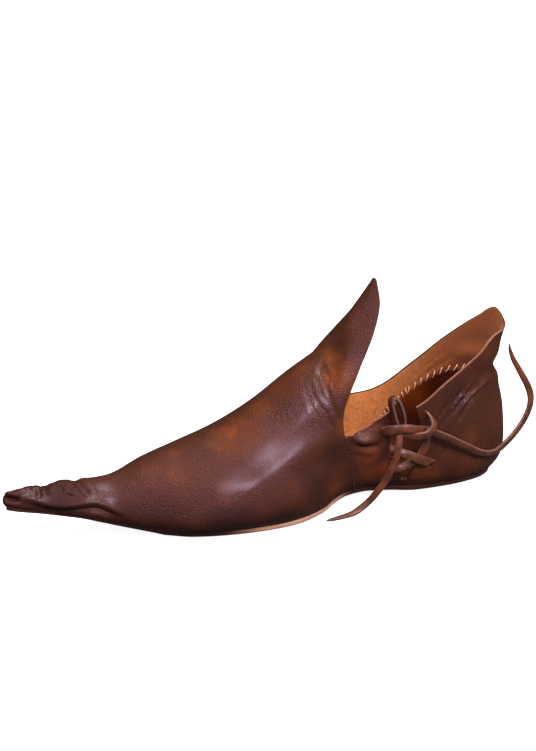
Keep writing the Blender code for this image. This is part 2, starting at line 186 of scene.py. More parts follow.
# The stage is a plain floor, white where the camera sees it, with a window light in front of the toe
# half, a soft ceiling light overhead and a weak light in front of the heel.
floor_paint = Finish("floor_paper", Roughness=0.9, Specular_IOR_Level=0.1)
floor_tone = floor_paint.noise(3.0)
floor_seen = floor_paint.node("ShaderNodeLightPath", output="Is Camera Ray")
floor_white = floor_paint.mixed(floor_tone, (0.90, 0.90, 0.91, 1), (0.93, 0.93, 0.93, 1))
floor_paint.set(Base_Color=floor_paint.mixed(floor_seen, (0.16, 0.15, 0.14, 1), floor_white),
                Emission_Color=(1.0, 1.0, 1.0, 1), Emission_Strength=floor_seen * 0.93)
bpy.ops.mesh.primitive_plane_add(size=80, location=(0, 30, 0))
floor = bpy.context.object
floor.name = "floor"
floor.data.materials.append(floor_paint.material)
softbox("window", (-0.10, -0.82, 0.92), (0.0, 0.0, 0.05), 0.34, 0.30, 11.0, (1.0, 0.74, 0.98))
softbox("ceiling", (0.05, -0.1, 1.4), (0.0, 0.0, 0.0), 0.7, 0.5, 17.0, (1.0, 0.95, 0.88))
softbox("heel_side", (0.7, -0.75, 0.75), (0.08, 0.0, 0.05), 0.4, 0.4, 5.5, (1.0, 0.92, 0.92))
sky = bpy.data.worlds.new("room")
sky.use_nodes = True
sky.node_tree.nodes["Background"].inputs["Color"].default_value = (1.0, 0.99, 0.98, 1)
sky.node_tree.nodes["Background"].inputs["Strength"].default_value = 0.10
bpy.context.scene.world = sky
bpy.context.scene.view_settings.view_transform = "Standard"

# The upper is one sheet of waxed leather, wet-moulded on the last, 2 mm thick and cut raw along the
# collar, the flaps and the slit. Its point has dried into folds, and wear has creased the instep,
# the quarter behind the lacing and the neck of the heel.
MIDDLE_X, MIDDLE_Y = 161.3, -1.3
WALL, UPPER_EDGE = 2.0, 0.35
THIN_FROM, THIN_TO, THINNEST = 319.0, 331.5, 0.12
LOW_ROWS, HIGH_ROWS = 42, 46
VAMP_STEPS, WALL_STEPS = 14, 15
SLIT_FIRST_ROW = 6

# A section over the foot runs from the sole's edge up to the ridge. Each of its keys gives x, the
# distances from the section's middle to the inner and to the outer side, and z.
Section = namedtuple("Section", "middle_y keys")
VAMP = [
    Section(-8, [(329, 0.6, 0.6, 29.5), (330.5, 0.7, 0.7, 31.5), (331, 0.7, 0.7, 34),
        (330.5, 0.6, 0.6, 36.5), (329, 0, 0, 38.5)]),
    Section(-7.8, [(324, 3, 3, 28.8), (325, 4, 4, 31), (325, 3.8, 3.8, 34), (324, 2.6, 2.6, 38),
        (323, 0, 0, 39.8)]),
    Section(-7, [(308, 5, 5, 24.8), (308, 7.5, 7.5, 28.5), (308, 7.2, 7.2, 33),
        (308, 4.2, 4.2, 37.5), (308, 0, 0, 39.5)]),
    Section(-6, [(284, 9, 9, 18.5), (284, 12.5, 12.5, 23), (284, 11.8, 11.8, 29), (284, 7, 7, 36),
        (284, 0, 0, 39)]),
    Section(-5, [(262, 15.5, 15.5, 12.5), (262, 20, 20, 18), (262, 18, 18, 26), (262, 10, 10, 34.5),
        (262, 0, 0, 38.6)]),
    Section(-3.5, [(240, 22.5, 22, 7.8), (240, 30, 29, 14), (240, 26, 25, 27), (240, 14, 14, 40.5),
        (240, 0, 0, 46)]),
    Section(-2, [(215, 32.5, 32, 5), (215, 41, 39, 13.5), (215, 34.5, 33, 30),
        (215, 18.5, 18, 45.5), (215, 0, 0, 52.3)]),
    Section(-1, [(190, 38.5, 38, 5), (190, 46, 45, 15), (190, 39, 38, 34), (190, 21, 21, 51.5),
        (190, 0, 0, 59.2)]),
    Section(0, [(165, 40.5, 40, 5), (165, 48, 45.5, 17), (165, 39.5, 38.5, 40),
        (165, 22.5, 21, 62.5), (163, 0, 0, 74)]),
    Section(0, [(147, 38, 37, 5.5), (147, 44.5, 43.5, 19), (147, 38, 36.5, 47),
        (144, 23.5, 21, 75.5), (140, 0, 0, 90.8)]),
    Section(0, [(130, 31, 33, 6.3), (130, 37.5, 40.5, 20), (131, 35.5, 35.5, 51),
        (127, 25, 20.5, 84), (117.5, 0, 0, 106)]),
]
SADDLE = [
    (121, 25, 31.5, 7.8), (122, 34, 39.5, 20.5), (124, 35, 38, 40), (125, 34.5, 35, 53.5),
    (124.5, 31.5, 31, 74), (116.5, 24, 20.5, 96), (108, 13.5, 8.5, 114), (103, 0, 0, 124.6)]
THROAT = [
    (112, 20, 30, 8.2), (114.5, 29.5, 38, 21), (118, 32.5, 36.5, 42), (119.3, 33, 34, 54),
    (120, 32, 32, 70), (109, 28, 27, 95), (95.5, 19.5, 18.5, 118), (87.8, 8.8, 10, 134.5),
    (88.2, 0, 0, 145.5)]
VAMP_LOW_KEY, THROAT_LOW_KEY = 2, 3
# A rib of the quarters gives x, the distance from the middle and z, at its foot, low down, half-way
# up, at the neck and at its top.
INNER_WALL = [
    (100, 17.5, 8.5, 102, 28, 20, 103, 31.5, 32, 103.5, 32.5, 45, 104, 32.5, 57),
    (73, 19, 6.8, 78, 29.5, 20.5, 86.3, 31.8, 34, 87.4, 32, 49, 88.5, 31.5, 66),
    (70.5, 19.5, 6.5, 69.8, 30, 21, 65.2, 31, 36, 64.2, 31, 50, 68.5, 30, 66),
    (48, 21, 5, 48, 31, 18, 48, 31, 34, 48, 29.5, 52, 46, 27, 79),
    (26, 20, 5, 24, 29.5, 17, 25, 28.5, 35, 26, 25.5, 60, 22, 21, 92),
    (9, 15.5, 5, 5, 22.5, 18, 6, 21.5, 38, 9.5, 18, 68, 7, 14, 101),
    (1, 8.5, 5, -5, 12.5, 18, -4, 12, 48, 1.5, 9, 79, -3.5, 7, 102)]
BACK_WALL = (-1, 0, 5, -8, 0, 19, -7, 0, 50, -1.5, 0, 79, -8, 0, 104.5)
OUTER_WALL = [
    (1, 9, 5, -5, 12.5, 18, -4, 12, 48, 1.5, 10, 78, -4.3, 8, 112.3),
    (9, 17, 5, 5, 23, 18, 6, 22, 38, 9, 18.5, 68, 3.5, 16, 105),
    (26, 23, 5, 24, 30, 17, 25, 29.3, 35, 26, 27, 58, 23, 23.5, 90),
    (48, 24, 5, 48, 32, 18, 48, 32, 32, 47, 30.8, 48, 44, 28.5, 72.5),
    (71, 24.5, 5, 71, 33.5, 19, 71, 33.8, 29, 70, 33, 41, 68, 32, 56),
    (93, 26, 5.5, 93, 35.5, 20, 93, 36, 29, 93, 35, 39, 92, 33.5, 53)]
SLIT_AFTER_WALL = 1
Hole = namedtuple("Hole", "x z lean")
LACE_HOLES = [Hole(92.6, 53.5, -8), Hole(82.5, 24.0, 20), Hole(60.5, 59.5, 10), Hole(57.0, 26.5, 12)]
HOLE_WIDE, HOLE_TALL = 3.0, 5.6
BESIDE_SHOE = -90

# A crease gives its height, its breadth left and right of its run seen from outside, and its points
# over the surface. It rises, or sinks where its height is negative, and fades over its breadths.
CREASES = [
    # the folds of the point, on the inner side
    (-2.4, 1.5, 1.5, [(331.5, -8.5, 36.3), (328.9, -9.6, 36.2), (325.7, -11, 35.3),
        (320.5, -12.4, 34.6)]),
    (-2, 1.7, 2.4, [(324, -11.5, 32.5), (317.7, -12.8, 32), (312, -14.2, 29.6), (306.2, -14.4, 27.4),
        (297.9, -15.3, 25.2), (289.2, -17.5, 24.6), (282.7, -19, 25.1), (277.4, -20.1, 25.1),
        (272.2, -21.6, 23.5), (266, -24, 20), (258, -27, 16.5)]),
    (0.9, 3.8, 1.5, [(315.5, -13.6, 32.4), (306.7, -14.8, 31.2), (297.9, -16.2, 28.9),
        (289, -17.5, 28.3), (283, -18.1, 28.7), (277.5, -18.6, 29.1), (273.5, -19.9, 27.7),
        (269.2, -22, 24.9)]),
    (-0.8, 1.3, 1.3, [(312.6, -5.5, 39.5), (312.4, -9.1, 39.1), (312.3, -11.3, 37.5),
        (313.5, -13.1, 34.6)]),
    (-0.9, 1.2, 1.2, [(306.4, -9.5, 38.7), (307.1, -12.2, 36.4), (308.9, -14.1, 32.9)]),
    (-1.5, 1.9, 1.9, [(305, 0, 39.2), (305.2, -9.9, 38.4), (305, -13.2, 35.2), (304.1, -14.5, 33)]),
    (-1.1, 0.6, 0.6, [(298.5, -7, 39.3), (296, -10, 38.2), (294.3, -12.5, 36.4), (292.3, -14.2, 34.5),
        (288.5, -15.6, 32.7)]),
    (-1.5, 2.4, 2, [(285, 2, 37), (284.8, -5, 39), (284, -10, 37.9), (283, -12.3, 36.5),
        (281.3, -14.9, 34), (278.5, -17.9, 30.2)]),
    (1.3, 4.5, 4.5, [(294.5, -12, 38), (294, -7, 39.4), (294, 0, 37)]),
    (0.7, 4, 4, [(316, -10, 38), (314, -7, 39.5), (315, -2, 37)]),
    # the folds of the point, on the outer side
    (-1.6, 1.6, 2.2, [(255, 20, 19), (266, 14, 22), (280, 7.2, 25), (294, 3.2, 27), (308, 0.2, 29.5),
        (320, -3, 32)]),
    (-0.9, 1.4, 1.4, [(300, 3, 31.5), (302, 1, 35), (301, -2.5, 38.6)]),
    (-0.8, 1.8, 1.8, [(288, 6.8, 29), (285, 3.5, 34.5), (283.5, -1.5, 38.4)]),
    (-0.6, 1.2, 1.2, [(312, 0.2, 33), (314, -2, 37), (313, -5.5, 39.2)]),
    # fine wrinkles that fan out over the instep, from the foot of the tall flap to the notch
    (-0.8, 1.2, 1.2, [(125.5, -7, 97.5), (126.5, -12.5, 95.3), (126.2, -18.1, 91.6),
        (126.3, -23.2, 86.6)]),
    (-0.8, 1.3, 1.3, [(128, -7, 96), (128.9, -12.4, 93.7), (129.1, -17.9, 89.8), (128.7, -23.1, 85.1),
        (127, -28, 78)]),
    (-0.7, 1.3, 1.3, [(132.2, -13.1, 91.1), (132.3, -18.5, 87.1), (131.8, -24.3, 81.7), (129, -29, 75)]),
    (-0.6, 1.4, 1.4, [(136, -14.2, 88), (136.5, -19.1, 83.9), (135.9, -24.6, 78.7), (132, -30, 71)]),
    (-0.5, 1.5, 1.5, [(140, -14.5, 85.3), (139.6, -20.5, 80.9), (139, -25.8, 75.5), (135, -31, 67)]),
    (-0.3, 1.3, 1.3, [(129.3, -24.5, 83), (127.2, -29.6, 76.1), (124.2, -32.6, 68.1),
        (121.4, -33.1, 59.7)]),
    (-0.28, 1.4, 1.4, [(135.7, -23.9, 79.7), (132.5, -29.8, 72.2), (127, -33.3, 63.4),
        (121.4, -33.4, 57)]),
    (-0.5, 1.2, 1.2, [(127, 8, 97), (127.5, 14, 93), (127, 20, 87), (126, 26, 79)]),
    (-0.45, 1.3, 1.3, [(132, 9, 93), (132.5, 16, 88.5), (132, 22, 82), (130, 28, 74)]),
    (-0.4, 1.5, 1.5, [(138, 10, 87.5), (138, 17, 82.5), (137, 24, 76), (135, 30, 68)]),
    # the ridge that the lacing draws from the notch down to the ball, and the hollow under it
    (1, 9, 6, [(120.7, -32.8, 60.8), (130, -34.4, 56.8), (139.9, -35.9, 52.8), (151.1, -37.3, 48.3),
        (162, -38.4, 43.1), (174.4, -40.2, 37.1), (186.8, -41.8, 31.7), (197.4, -42.6, 27)]),
    (-0.5, 6, 6, [(121, -33.5, 50), (132, -35.4, 45), (146, -38, 39), (162, -40.4, 33)]),
    # the bend of the tall flap, and the edge of the front flap turned out
    (0.9, 3, 4.5, [(123.5, 9, 98.5), (117.8, 1, 105.4), (113.4, -4.3, 110.2), (108.7, -5.5, 116.1),
        (105.2, -3.5, 121), (102, -2.1, 125.5), (98.5, -0.6, 131)]),
    (-1.9, 3, 3, [(115, -32, 57), (111, -31.6, 56.8), (107, -31.5, 56.6), (102.9, -31.6, 58),
        (98.4, -31.9, 60.5), (94.3, -31.9, 63.4)]),
    (1.5, 2.6, 2, [(116.6, -32.7, 55.4), (111.3, -32.6, 52), (107.1, -32.6, 49.6),
        (102.1, -32.4, 48.6), (97.2, -32.3, 49.3), (93, -32.2, 52)]),
    (-1.5, 1.5, 1.7, [(111.8, -32.6, 48.6), (107.6, -32.4, 46), (102.6, -32.4, 44.4),
        (97.4, -32.3, 43.9), (93.5, -32.2, 45)]),
    (0.7, 1.6, 2, [(112, -32.6, 45.4), (107.6, -32.4, 42.6), (102, -32.4, 41), (96, -32.2, 40.6)]),
    # the quarter, folded slantwise from the heel's neck down to the lacing
    (1, 1.1, 1.5, [(9.5, -17.3, 74.7), (16.4, -20.9, 72.2), (23.5, -23.8, 68.6), (29.2, -25.6, 64.6),
        (34.8, -27.3, 58.4), (40.1, -28.7, 52.7), (44.6, -29.7, 46.7)]),
    (-1.1, 2, 1.4, [(11, -18.3, 72), (18, -21.7, 69.6), (25.4, -24.6, 65.6), (31.6, -26.5, 60.6),
        (37.6, -28, 54.4), (43, -29.2, 48)]),
    (-1, 1.4, 1.4, [(22.7, -22.9, 74.5), (30.1, -25.4, 68.8), (37.1, -27.2, 62.9),
        (43.9, -28.6, 57.4), (49.1, -29.5, 52.2), (52.7, -30, 49.5)]),
    (0.75, 1.2, 1.2, [(25.7, -23.6, 74.5), (33.1, -25.7, 69.3), (40.1, -27.2, 63.4),
        (46.4, -28.6, 57.6)]),
    (-0.75, 1.3, 1.3, [(40.4, -26.9, 70.9), (44.9, -27.9, 65.7), (49.3, -28.8, 61.1),
        (52.2, -29.5, 55.5)]),
    (-0.75, 1.1, 1.1, [(33.4, -25.6, 72.8), (38.8, -27, 67.2), (44.8, -28.3, 60.9),
        (50.7, -29.5, 54.5)]),
    (-0.8, 1.1, 1.1, [(51, -30.6, 41.5), (48.8, -30.8, 36.5), (48, -31.1, 32.2), (48.6, -31.4, 28.9)]),
    (-0.75, 1.1, 1.1, [(45.9, -30.5, 39.7), (45.8, -30.8, 34.6), (47.2, -31.3, 30)]),
    (-0.7, 1.1, 1.1, [(55.4, -30.8, 42.3), (53.5, -30.9, 37.6), (52.6, -31, 33)]),
    # the heel, pinched in at its neck, and small dents under it
    (-2.1, 5, 4, [(27, -23.7, 79), (20.2, -21.4, 80), (10, -16.6, 79.5), (1.5, -8, 78.5),
        (-1, 0, 78.5), (1.5, 8, 78.5), (9, 17, 77), (20, 24, 75)]),
    (0.4, 1, 1.6, [(7, -15.5, 77.5), (14.9, -19.1, 80.5), (22, -22, 79.5), (29, -24.1, 76.5)]),
    (-0.8, 1.2, 1.6, [(26.8, -29.4, 25), (24.2, -28.9, 19.6), (26, -28.8, 15.4)]),
    (-0.3, 1.3, 1.3, [(1.8, -14.7, 57), (9.5, -19.9, 58.9), (16.3, -22.6, 58)]),
    (-0.6, 1.6, 1.6, [(12, 19, 74), (22, 24.5, 68), (34, 28.5, 60), (46, 31, 48)]),
    (-0.5, 1.3, 1.3, [(20, 23, 77), (32, 27, 68), (45, 30, 56)]),
    (-0.4, 1.2, 1.2, [(60, 32.5, 46), (64, 33.4, 38), (66, 33.8, 30)]),
]
FADE_SHARE = 0.22
CREASE_STEPS, CREASE_REACH = 40, 3.2


def smooth_through(knots, points, at):
    """Cubic through points at their knots, with each slope taken from the knots on both sides."""
    knots = np.asarray(knots, float)
    points = np.asarray(points, float)
    gap = np.diff(knots)
    rise = np.diff(points, axis=0) / gap[:, None]
    slope = np.empty_like(points)
    slope[1:-1] = (gap[1:, None] * rise[:-1] + gap[:-1, None] * rise[1:]) / (gap[1:] + gap[:-1])[:, None]
    slope[0] = 1.5 * rise[0] - 0.5 * slope[1]
    slope[-1] = 1.5 * rise[-1] - 0.5 * slope[-2]
    i = np.clip(np.searchsorted(knots, at, side="right") - 1, 0, len(gap) - 1)
    t = ((at - knots[i]) / gap[i])[:, None]
    span = gap[i][:, None]
    return ((1 + 2 * t) * (1 - t) ** 2 * points[i] + t * (1 - t) ** 2 * span * slope[i]
            + t * t * (3 - 2 * t) * points[i + 1] + t * t * (t - 1) * span * slope[i + 1])


def run_lengths(points, power=1.0):
    """Distance along a line of points, from its first one; power 0.5 suits a cubic's knots."""
    steps = np.linalg.norm(np.diff(points, axis=0), axis=1)
    return np.concatenate([[0.0], np.cumsum(np.maximum(steps, 1e-9) ** power)])


LINE_SAMPLES, THONG_SAMPLES = 481, 1201


def even_points(points, first, last, count):
    """count + 1 evenly spaced points on the smooth line through points, from first to last."""
    knots = run_lengths(points, 0.5)
    fine = smooth_through(knots, points, np.linspace(knots[first], knots[last], LINE_SAMPLES))
    along = run_lengths(fine)
    wanted = np.linspace(0, along[-1], count + 1)
    return np.stack([np.interp(wanted, along, fine[:, axis]) for axis in range(fine.shape[1])], axis=1)


def arch_ribs(keys, low_key, mid_y):
    """A section's inner and outer half, each from the sole's edge up to the ridge."""
    inner = [(x, mid_y - to_inner, z) for x, to_inner, to_outer, z in keys]
    outer = [(x, mid_y + to_outer, z) for x, to_inner, to_outer, z in keys]
    over = np.array(inner + outer[-2::-1], float)
    ridge = len(keys) - 1
    halves = []
    for line in (over, over[::-1]):
        low = even_points(line, 0, low_key, LOW_ROWS)
        high = even_points(line, low_key, ridge, HIGH_ROWS)
        halves.append(np.vstack([low, high[1:]]))
    return halves


def wall_rib(row, side):
    """A rib of the inner quarter for side -1 and of the outer one for side 1."""
    keys = np.array(row, float).reshape(5, 3)
    keys[:, 1] *= side
    return even_points(keys, 0, 4, LOW_ROWS)


def loft_rows(ribs, steps, closed):
    """Stations between ribs, steps[i] of them from rib i to the next, smooth along every row."""
    ribs = np.array(ribs)
    lead = 2 if closed else 0
    rows = []
    for k in range(ribs.shape[1]):
        points = ribs[:, k]
        if closed:
            points = np.vstack([points[-3:-1], points, points[1:3]])
        knots = run_lengths(points, 0.5)
        at = [knots[lead + i] + (knots[lead + i + 1] - knots[lead + i]) * np.arange(count) / count
              for i, count in enumerate(steps)]
        at.append([knots[lead + len(steps)]])
        rows.append(smooth_through(knots, points, np.concatenate(at)))
    return np.array(rows).transpose(1, 0, 2)


Form = namedtuple("Form", "band cap slit")


def upper_form(vamp_steps, wall_steps):
    """Grids of the upper's outer face: the band all round, the cap over the toes, and the slit's station."""
    pairs = [arch_ribs(section.keys, VAMP_LOW_KEY, section.middle_y) for section in VAMP]
    pairs += [arch_ribs(keys, THROAT_LOW_KEY, 0.0) for keys in (SADDLE, THROAT)]
    tip = pairs[0][0].copy()
    tip[:, 1] = VAMP[0].middle_y
    inner = [tip] + [pair[0] for pair in pairs[1:]]
    outer = [tip] + [pair[1] for pair in pairs[1:]]
    inner_wall = [wall_rib(row, -1) for row in INNER_WALL]
    outer_wall = [wall_rib(row, 1) for row in [BACK_WALL] + OUTER_WALL]
    edge = LOW_ROWS + 1
    loop = [rib[:edge] for rib in inner] + inner_wall + outer_wall + [rib[:edge] for rib in outer[::-1]]
    spans = len(pairs) - 1
    steps = [vamp_steps] * spans + [wall_steps] * (len(loop) - 1 - 2 * spans) + [vamp_steps] * spans
    slit_span = spans + 1 + SLIT_AFTER_WALL
    steps[slit_span] = 1
    steps[-spans - 1] = wall_steps + 1
    band = loft_rows(loop, steps, closed=True)
    over = [rib[LOW_ROWS:] for rib in outer[::-1] + inner[1:]]
    cap = loft_rows(over, [vamp_steps] * (2 * spans), closed=False)
    reach = spans * vamp_steps
    for i in range(reach + 1):
        cap[reach - i, 0] = band[-1 - i, -1]
        cap[reach + i, 0] = band[i, -1]
    return Form(band, cap, sum(steps[:slit_span]))


def in_metres(point):
    """A table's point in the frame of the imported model."""
    return Vector(((MIDDLE_X - point[0]) * MM, (point[1] - MIDDLE_Y) * MM, point[2] * MM))


def mesh_piece(name, grids, skipped=(), welded=0.02):
    """An object from grids of table points; skipped holds the (grid, station, row) faces left out."""
    bm = bmesh.new()
    for which, grid in enumerate(grids):
        verts = [[bm.verts.new(in_metres(point)) for point in station] for station in grid]
        for i in range(len(grid) - 1):
            for k in range(len(grid[0]) - 1):
                if (which, i, k) not in skipped:
                    bm.faces.new((verts[i][k], verts[i + 1][k], verts[i + 1][k + 1], verts[i][k + 1]))
    bmesh.ops.remove_doubles(bm, verts=bm.verts, dist=welded * MM)
    mesh = bpy.data.meshes.new(name)
    bm.to_mesh(mesh)
    bm.free()
    mesh.shade_smooth()
    return placed(name, mesh)


def surface_of(piece):
    """The piece's own surface, to set points on."""
    mesh = piece.data
    corners = [vertex.co.copy() for vertex in mesh.vertices]
    return BVHTree.FromPolygons(corners, [tuple(face.vertices) for face in mesh.polygons])


def crease(piece, creases):
    """Pushes the surface in and out along each crease."""
    mesh = piece.data
    surface = surface_of(piece)
    places = np.empty(len(mesh.vertices) * 3)
    mesh.vertices.foreach_get("co", places)
    places = places.reshape(-1, 3)
    normals = np.array([vertex.normal[:] for vertex in mesh.vertices])
    shift = np.zeros(len(places))
    for height, left_breadth, right_breadth, points in creases:
        line = even_points(np.array(points, float), 0, len(points) - 1, CREASE_STEPS)
        run = np.array([surface.find_nearest(in_metres(point))[0][:] for point in line])
        reach = CREASE_REACH * max(left_breadth, right_breadth) * MM
        low = run.min(axis=0) - reach
        high = run.max(axis=0) + reach
        near = np.nonzero(((places > low) & (places < high)).all(axis=1))[0]
        apart = places[near][:, None] - run[None]
        closest = (apart ** 2).sum(axis=2).argmin(axis=1)
        offset = apart[np.arange(len(near)), closest]
        along = np.gradient(run, axis=0)[closest]
        left = (np.cross(normals[near], along) * offset).sum(axis=1) > 0
        distance = np.linalg.norm(offset, axis=1) / MM / np.where(left, left_breadth, right_breadth)
        share = closest / (len(run) - 1)
        ends = np.clip(np.minimum(share, 1 - share) / FADE_SHARE, 0, 1)
        ends = ends * ends * (3 - 2 * ends)
        shape = np.exp(-distance ** 2) - 0.3 * np.exp(-(distance - 2.0) ** 2)
        shift[near] += height * shape * ends * MM
    places += normals * shift[:, None]
    mesh.vertices.foreach_set("co", places.ravel())
    mesh.update()


BEVEL_FROM, SHARP_FROM = math.radians(50), math.radians(60)


def thicken(piece, thickness):
    """Gives the piece a wall inside its surface."""
    wall = piece.modifiers.new("wall", "SOLIDIFY")
    wall.thickness = thickness * MM
    wall.offset = -1
    wall.use_even_offset = False
    return wall


def soften_edges(piece, width):
    edge = piece.modifiers.new("soft_edge", "BEVEL")
    edge.width = width * MM
    edge.segments = 2
    edge.limit_method = "ANGLE"
    edge.angle_limit = BEVEL_FROM


def final_mesh(piece):
    graph = bpy.context.evaluated_depsgraph_get()
    return bpy.data.meshes.new_from_object(piece.evaluated_get(graph), depsgraph=graph)


def finish_mesh(piece):
    """Applies the piece's modifiers and leaves a plain mesh."""
    mesh = final_mesh(piece)
    piece.modifiers.clear()
    piece.data = mesh
    mesh.name = piece.name


shoe_form = upper_form(VAMP_STEPS, WALL_STEPS)
open_rows = {(0, shoe_form.slit, k) for k in range(SLIT_FIRST_ROW, LOW_ROWS)}
upper = mesh_piece("upper_leather", [shoe_form.band, shoe_form.cap], skipped=open_rows)
crease(upper, CREASES)
upper_surface = surface_of(upper)


def on_side(x, z):
    """The table point on the upper's inner side at x and z."""
    hit = upper_surface.ray_cast(in_metres((x, BESIDE_SHOE, z)), Vector((0, 1, 0)))[0]
    return (x, hit.y / MM + MIDDLE_Y, z)


thin = upper.vertex_groups.new(name="wall_share")
for vertex in upper.data.vertices:
    share = (THIN_TO - MIDDLE_X + vertex.co.x / MM) / (THIN_TO - THIN_FROM)
    thin.add([vertex.index], min(1.0, max(THINNEST, share)), "REPLACE")

grain = Finish("waxed_brown_leather", Specular_IOR_Level=0.19, Specular_Tint=(1.0, 0.75, 1.0, 1),
               Coat_Roughness=0.28)
flesh = Finish("suede_side", Specular_IOR_Level=0.2, Sheen_Weight=0.35, Sheen_Roughness=0.5)
cut = Finish("cut_leather_edge", Specular_IOR_Level=0.1)

# Patches give x, y, z, size and strength: warm ones where the dye is rubbed thin, dark ones that paint shade
# into the hollows, the creases and the low flanks, and glossy ones where the wax is polished. Each is full
# out to PATCH_FULL of its size and gone at PATCH_GONE.
PATCH_FULL, PATCH_GONE = 0.2, 1.3
WARM = [
    (118, -24, 92, 15, 0.85), (150, 0, 82, 20, 0.5), (180, -18, 58, 24, 0.6), (119, -33, 62, 9, 1),
    (106, -32, 56, 9, 0.5), (165, -28, 62, 16, 0.4), (205, -34, 42, 22, 0.3), (168, -8, 72, 15, 0.6),
    (121, -14, 101, 10, 0.8), (170, -42, 24, 18, 0.2), (126, -36, 20, 12, 0.35), (95, 20, 110, 20, 0.4),
    (104, -31, 38, 10, 0.7), (96, -30, 24, 12, 0.75), (88, -30, 18, 10, 0.6), (60, -30, 14, 16, 0.65),
    (28, -28, 38, 10, 0.6), (25, -28, 14, 16, 0.5), (4, -12, 45, 18, 0.45), (4, -8, 20, 16, 0.5),
    (225, -20, 40, 22, 0.35), (14, -16, 92, 14, 0.35), (100, -12, 125, 18, 0.3), (150, 40, 30, 25, 0.5),
    (90, 34, 28, 24, 0.5), (40, 30, 40, 22, 0.45), (190, 38, 30, 24, 0.4), (120, 26, 90, 16, 0.6)]
SHADE_PATCHES = [
    (300, -8, 27, 26, 0.7), (327, -8, 33, 12, 0.5), (200, -44, 8, 25, 0.9), (238, -30, 12, 22, 0.6),
    (128, -36, 44, 12, 0.6), (96, -14, 130, 14, 0.4), (80, -30, 12, 10, 0.6), (40, -26, 68, 14, 0.5),
    (84, -30, 40, 8, 0.5), (165, -42, 9, 22, 0.75), (142, -39, 28, 18, 0.6), (118, -10, 108, 9, 0.5),
    (262, -22, 16, 16, 0.5), (10, -20, 28, 12, 0.3), (112, -33, 30, 8, 0.4)]
GLOSS = [
    (160, -38, 48, 25, 0.75), (188, -41, 30, 17, 0.75), (136, -30, 70, 24, 1), (124, -20, 90, 20, 1),
    (150, -24, 74, 26, 1), (112, -16, 96, 14, 0.8), (30, -26, 58, 28, 0.8), (106, -32, 56, 10, 0.9),
    (312, -12, 37, 9, 0.9), (273, -17, 31, 10, 1), (120, -33, 58, 9, 0.7), (150, 34, 60, 40, 0.5),
    (40, 28, 50, 40, 0.4)]


def patches(finish, places):
    """How much the patches cover each point, from 0 to 1."""
    total = None
    for x, y, z, size, strength in places:
        apart = finish.node("ShaderNodeVectorMath", {"operation": "DISTANCE"},
                            {0: finish.place, 1: in_metres((x, y, z))}, output="Value")
        cover = (1 - apart.between(PATCH_FULL * size * MM, PATCH_GONE * size * MM)) * strength
        total = cover if total is None else total.maths("MAXIMUM", cover)
    return total


cloud = grain.noise(26, detail=4.0, rough=0.6)
fine_cloud = grain.noise(110, detail=3.0, rough=0.65)
speck = grain.noise(900, detail=2.0)
warm_share = patches(grain, WARM) * (0.55 + 0.9 * (cloud - 0.25)) + 0.5 * (cloud.between(0.5, 0.75))
warm_share = (warm_share + 0.35 * (fine_cloud - 0.5)).between(0.0, 1.15)
# Painted shade: the dark patches darken the hide in its hollows, creases and low flanks. The darker mottling
# mixed in with them is the hide's own tone.
shade_and_mottle_share = (patches(grain, SHADE_PATCHES) + 0.5 * (fine_cloud.between(0.45, 0.7)) * (1 - cloud)).between(0.0, 1.1)
hide = grain.mixed(warm_share, (0.062, 0.02, 0.008, 1), (0.185, 0.050, 0.008, 1))
hide = grain.mixed(shade_and_mottle_share * 0.8, hide, (0.017, 0.007, 0.005, 1))
hide = grain.mixed(speck.between(0.5, 0.8) * 0.25, hide, (0.10, 0.038, 0.018, 1))
pores = grain.node("ShaderNodeTexVoronoi", {"feature": "F1"}, {"Vector": grain.place, "Scale": 1100.0},
                   output="Distance")
wrinkle = grain.noise(420, detail=4.0, rough=0.7, warp=0.3)
polished = patches(grain, GLOSS) * (0.7 + 0.6 * (fine_cloud - 0.25))
grain.set(Base_Color=hide, Roughness=0.50 + 0.14 * (fine_cloud - 0.5) - 0.28 * polished,
          Coat_Weight=0.42 * polished,
          Normal=grain.bump(0.9, 0.0004, wrinkle * 0.6 + pores * 0.8 + speck * 0.5))

nap = flesh.noise(420, detail=5.0, rough=0.7)
nap_cloud = flesh.noise(45, detail=3.0, rough=0.6)
# Painted shade: the suede darkens towards the heel, where the inside of the shoe lies in shade.
heel_shade_share = flesh.along("X").between(0.06, 0.155)
suede = flesh.mixed(nap_cloud.between(0.3, 0.7), (0.92, 0.350, 0.075, 1), (1.0, 0.46, 0.120, 1))
suede = flesh.mixed(heel_shade_share, suede, (0.22, 0.068, 0.011, 1))
suede = flesh.mixed(nap.between(0.42, 0.68) * 0.5, suede, (0.24, 0.07, 0.014, 1))
flesh.set(Base_Color=suede, Roughness=0.86 + 0.1 * (nap - 0.5), Normal=flesh.bump(0.6, 0.0006, nap))

fibre = cut.noise(700, detail=4.0, rough=0.7)
side_place = cut.along("Y")
edge_height = cut.along("Z")
# Painted shade: the cut edges are darker on the outer side of the shoe and low down.
edge_shade_share = side_place.between(-0.012, 0.004).maths("MAXIMUM", 1 - edge_height.between(0.035, 0.05))
edge_tone = cut.mixed(edge_shade_share, (0.30, 0.135, 0.085, 1), (0.045, 0.020, 0.014, 1))
edge_tone = cut.mixed(fibre.between(0.35, 0.7) * 0.5, edge_tone, (0.085, 0.035, 0.02, 1))
cut.set(Base_Color=edge_tone, Roughness=0.7 + 0.2 * (fibre - 0.5), Normal=cut.bump(0.5, 0.0004, fibre))

